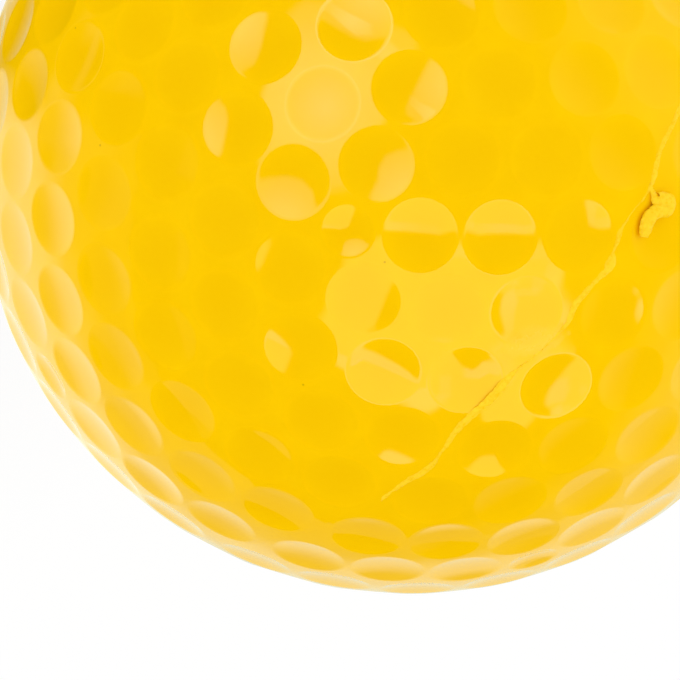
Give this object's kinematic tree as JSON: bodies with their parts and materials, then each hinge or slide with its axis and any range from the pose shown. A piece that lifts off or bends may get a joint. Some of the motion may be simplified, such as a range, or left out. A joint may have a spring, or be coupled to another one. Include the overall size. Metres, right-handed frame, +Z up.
{
  "type": "golf practice ball",
  "caption": "Yellow dimpled golf practice ball: a solid rubber core inside glossy cover halves, with flash left along the mould seam.",
  "frame": {"origin": "centre of the ball, in the parting plane between the cover halves", "axes": "the ball lies with its seam upright: the XZ plane is the parting plane, the mould opens along Y and the pole of the front cover half faces -Y; +Z is up, through the seam beside a small dimple of the front half"},
  "size_m": [0.0426, 0.0426, 0.0427],
  "materials": {
    "core_rubber": "matte moulded polybutadiene rubber",
    "cover": "high-gloss yellow ionomer under clear lacquer",
    "flash": "rough torn edge of the yellow cover stock"
  },
  "bodies": {
    "root": {"core": "core_rubber", "front_cover": "cover", "rear_cover": "cover", "seam_flash": "flash"}
  },
  "joints": []
}
